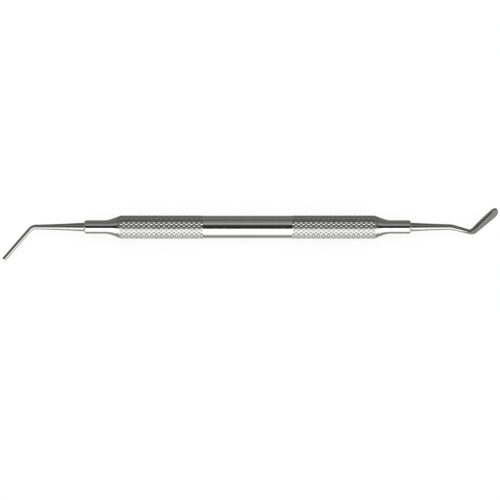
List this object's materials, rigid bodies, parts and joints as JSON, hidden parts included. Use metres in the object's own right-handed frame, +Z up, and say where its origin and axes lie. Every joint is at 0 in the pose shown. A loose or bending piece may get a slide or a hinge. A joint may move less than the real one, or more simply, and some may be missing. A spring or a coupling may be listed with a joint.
{
  "type": "double-ended modelling tool",
  "caption": "Double-ended steel modelling tool: round knurled handle with tapered end cones, a bent flat-ended rod at one end and an angled paddle at the other.",
  "frame": {"origin": "on the surface the tool lies on, below the middle of its bounding box", "axes": "+X along the handle from the rod end to the paddle end, +Z up; the tool lies at rest with its handle and the rod's end on the surface"},
  "size_m": [0.1702, 0.0172, 0.008],
  "materials": {
    "handle_steel": "polished stainless steel; mirror-bright middle band, diamond knurl on both sides of it",
    "cone_steel": "turned and polished stainless steel",
    "rod_steel": "polished stainless steel",
    "paddle_steel": "polished stainless steel with a satin, cross-ground back face"
  },
  "bodies": {
    "root": {"handle_tube": "handle_steel", "left_end_cone": "cone_steel", "right_end_cone": "cone_steel", "rod_tip": "rod_steel", "paddle_tip": "paddle_steel"}
  },
  "joints": []
}
